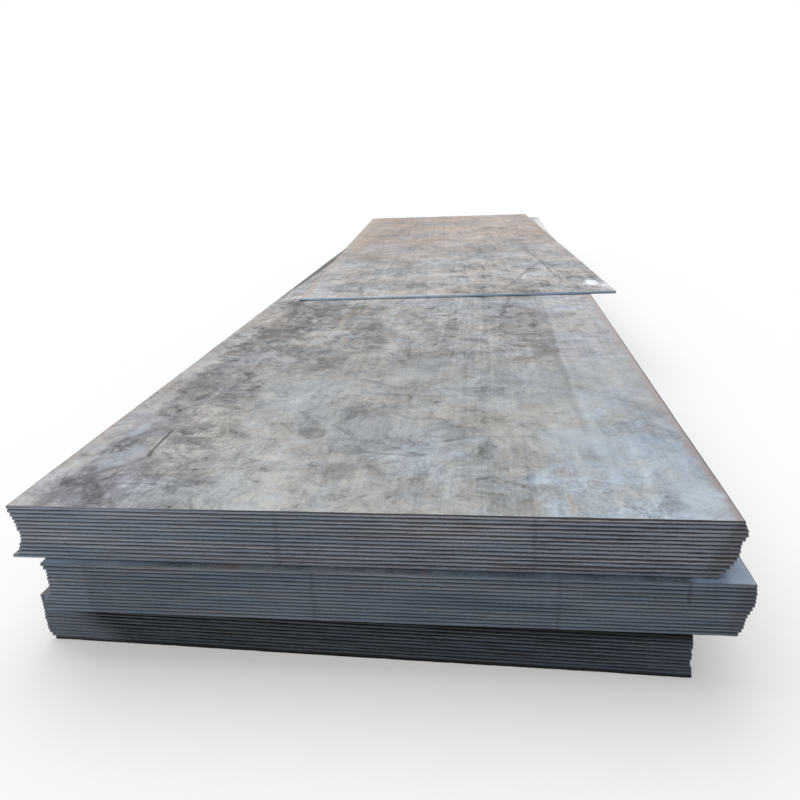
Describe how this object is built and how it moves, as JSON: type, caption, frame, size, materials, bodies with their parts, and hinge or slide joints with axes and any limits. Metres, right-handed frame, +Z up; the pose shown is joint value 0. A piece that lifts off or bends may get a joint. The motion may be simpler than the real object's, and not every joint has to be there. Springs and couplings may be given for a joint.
{
  "type": "steel plate stack",
  "caption": "Stack of long hot-rolled steel plates with mill scale, laid in packs on each other, with a loose plate lying askew on top.",
  "frame": {"origin": "on the floor, under the middle of the stack's bounding box", "axes": "+Z up, the plates' length along Y with the front ends towards -Y, their width along X"},
  "size_m": [1.7206, 6.2366, 0.376],
  "materials": {
    "top_pack_scale": "mottled grey mill scale with bluish and brown stains",
    "middle_pack_scale": "blue-grey sheared ends and mill scale",
    "lower_pack_scale": "dark mill scale, dusty",
    "loose_plate_scale": "mottled grey mill scale with brown stains"
  },
  "bodies": {
    "root": {"top_pack_plate_01": "top_pack_scale", "top_pack_plate_02": "top_pack_scale", "top_pack_plate_03": "top_pack_scale", "top_pack_plate_04": "top_pack_scale", "top_pack_plate_05": "top_pack_scale", "top_pack_plate_06": "top_pack_scale", "top_pack_plate_07": "top_pack_scale", "top_pack_plate_08": "top_pack_scale", "top_pack_plate_09": "top_pack_scale", "top_pack_plate_10": "top_pack_scale", "top_pack_plate_11": "top_pack_scale", "top_pack_plate_12": "top_pack_scale", "top_pack_plate_13": "top_pack_scale", "top_pack_plate_14": "top_pack_scale", "middle_pack_plate_01": "middle_pack_scale", "middle_pack_plate_02": "middle_pack_scale", "middle_pack_plate_03": "middle_pack_scale", "middle_pack_plate_04": "middle_pack_scale", "middle_pack_plate_05": "middle_pack_scale", "middle_pack_plate_06": "middle_pack_scale", "middle_pack_plate_07": "middle_pack_scale", "middle_pack_plate_08": "middle_pack_scale", "middle_pack_plate_09": "middle_pack_scale", "middle_pack_plate_10": "middle_pack_scale", "middle_pack_plate_11": "middle_pack_scale", "middle_pack_plate_12": "middle_pack_scale", "middle_pack_plate_13": "middle_pack_scale", "middle_pack_plate_14": "middle_pack_scale", "lower_pack_plate_01": "lower_pack_scale", "lower_pack_plate_02": "lower_pack_scale", "lower_pack_plate_03": "lower_pack_scale", "lower_pack_plate_04": "lower_pack_scale", "lower_pack_plate_05": "lower_pack_scale", "lower_pack_plate_06": "lower_pack_scale", "lower_pack_plate_07": "lower_pack_scale", "lower_pack_plate_08": "lower_pack_scale", "lower_pack_plate_09": "lower_pack_scale", "lower_pack_plate_10": "lower_pack_scale", "lower_pack_plate_11": "lower_pack_scale", "lower_pack_plate_12": "lower_pack_scale", "lower_pack_plate_13": "lower_pack_scale", "lower_pack_plate_14": "lower_pack_scale", "loose_plate": "loose_plate_scale"}
  },
  "joints": []
}
